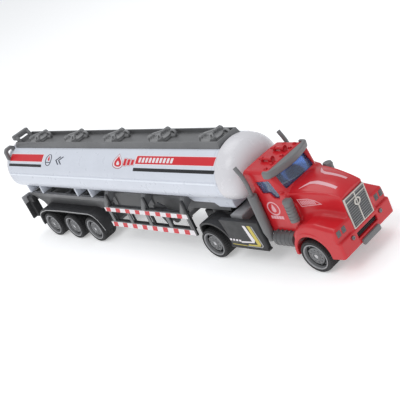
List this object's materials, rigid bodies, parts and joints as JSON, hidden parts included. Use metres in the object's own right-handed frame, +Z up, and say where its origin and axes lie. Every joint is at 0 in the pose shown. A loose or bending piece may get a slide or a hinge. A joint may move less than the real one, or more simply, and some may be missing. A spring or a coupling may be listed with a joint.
{
  "type": "toy tanker truck",
  "caption": "Toy articulated tanker: conventional-cab tractor that swivels on a kingpin under an oval tank trailer with catwalk, side guards and free-rolling wheels.",
  "frame": {"origin": "centre of the footprint, on the surface that the tyres stand on", "axes": "+X forward, +Y to the truck's left, +Z up"},
  "size_m": [0.375, 0.054, 0.0918],
  "materials": {
    "red_plastic": "gloss moulded plastic",
    "white_plastic": "semi-gloss moulded plastic",
    "grey_plastic": "satin moulded plastic",
    "lamp_grey": "satin paint on plastic",
    "black_plastic": "matt moulded plastic",
    "blue_glazing": "clear blue-tinted plastic",
    "navy_interior": "matt moulded plastic",
    "steel": "plated steel",
    "rim_grey": "satin moulded plastic",
    "tyre_black": "matt soft plastic"
  },
  "bodies": {
    "tractor": {"cab_body": "red_plastic", "cab_glazing": "blue_glazing", "cab_interior": "navy_interior", "sun_visor": "grey_plastic", "grille": "grey_plastic", "headlamps": "lamp_grey", "plate_bar": "grey_plastic", "bumper_screws": "steel", "roof_horns": "red_plastic", "marker_lamps": "red_plastic", "air_cleaner_right": "grey_plastic", "air_cleaner_left": "grey_plastic", "exhaust_stack_right": "grey_plastic", "exhaust_stack_left": "grey_plastic", "fuel_tank_right": "grey_plastic", "fuel_tank_left": "grey_plastic", "tractor_chassis": "black_plastic", "side_skirt_right": "black_plastic", "side_skirt_left": "black_plastic", "deck_box": "grey_plastic", "fifth_wheel_plate": "black_plastic", "cab_screws": "steel"},
    "trailer": {"tank_shell": "white_plastic", "tank_front_cap": "white_plastic", "tank_rear_cap": "white_plastic", "catwalk_tray": "grey_plastic", "manhole_1": "grey_plastic", "manhole_2": "grey_plastic", "manhole_3": "grey_plastic", "manhole_4": "grey_plastic", "manhole_5": "grey_plastic", "rear_rails": "grey_plastic", "trailer_frame": "grey_plastic", "bogie_block": "black_plastic", "trailer_fender_right": "black_plastic", "trailer_fender_left": "black_plastic", "side_guard_right": "grey_plastic", "side_guard_left": "grey_plastic", "guard_struts": "grey_plastic", "landing_gear": "black_plastic", "rear_light_bar": "grey_plastic", "mud_flap_right": "black_plastic", "mud_flap_left": "black_plastic", "kingpin": "steel", "trailer_screws": "steel"},
    "front_wheels": {"front_axle": "steel", "front_rims": "rim_grey", "front_tyres": "tyre_black"},
    "drive_wheels": {"drive_axle": "steel", "drive_rims": "rim_grey", "drive_tyres": "tyre_black"},
    "trailer_1_wheels": {"trailer_1_axle": "steel", "trailer_1_rims": "rim_grey", "trailer_1_tyres": "tyre_black"},
    "trailer_2_wheels": {"trailer_2_axle": "steel", "trailer_2_rims": "rim_grey", "trailer_2_tyres": "tyre_black"},
    "trailer_3_wheels": {"trailer_3_axle": "steel", "trailer_3_rims": "rim_grey", "trailer_3_tyres": "tyre_black"}
  },
  "joints": [
    {"name": "kingpin_swivel", "type": "hinge", "parent": "tractor", "child": "trailer", "pos_m": [0.064, 0, 0.031], "axis": [0, 0, 1], "range_deg": [-45, 45]},
    {"name": "front_wheel_spin", "type": "hinge", "parent": "tractor", "child": "front_wheels", "pos_m": [0.1598, 0, 0.012], "axis": [0, 1, 0], "continuous": true},
    {"name": "drive_wheel_spin", "type": "hinge", "parent": "tractor", "child": "drive_wheels", "pos_m": [0.064, 0, 0.012], "axis": [0, 1, 0], "continuous": true},
    {"name": "trailer_1_wheel_spin", "type": "hinge", "parent": "trailer", "child": "trailer_1_wheels", "pos_m": [-0.0855, 0, 0.012], "axis": [0, 1, 0], "continuous": true},
    {"name": "trailer_2_wheel_spin", "type": "hinge", "parent": "trailer", "child": "trailer_2_wheels", "pos_m": [-0.118, 0, 0.012], "axis": [0, 1, 0], "continuous": true},
    {"name": "trailer_3_wheel_spin", "type": "hinge", "parent": "trailer", "child": "trailer_3_wheels", "pos_m": [-0.1506, 0, 0.012], "axis": [0, 1, 0], "continuous": true}
  ]
}
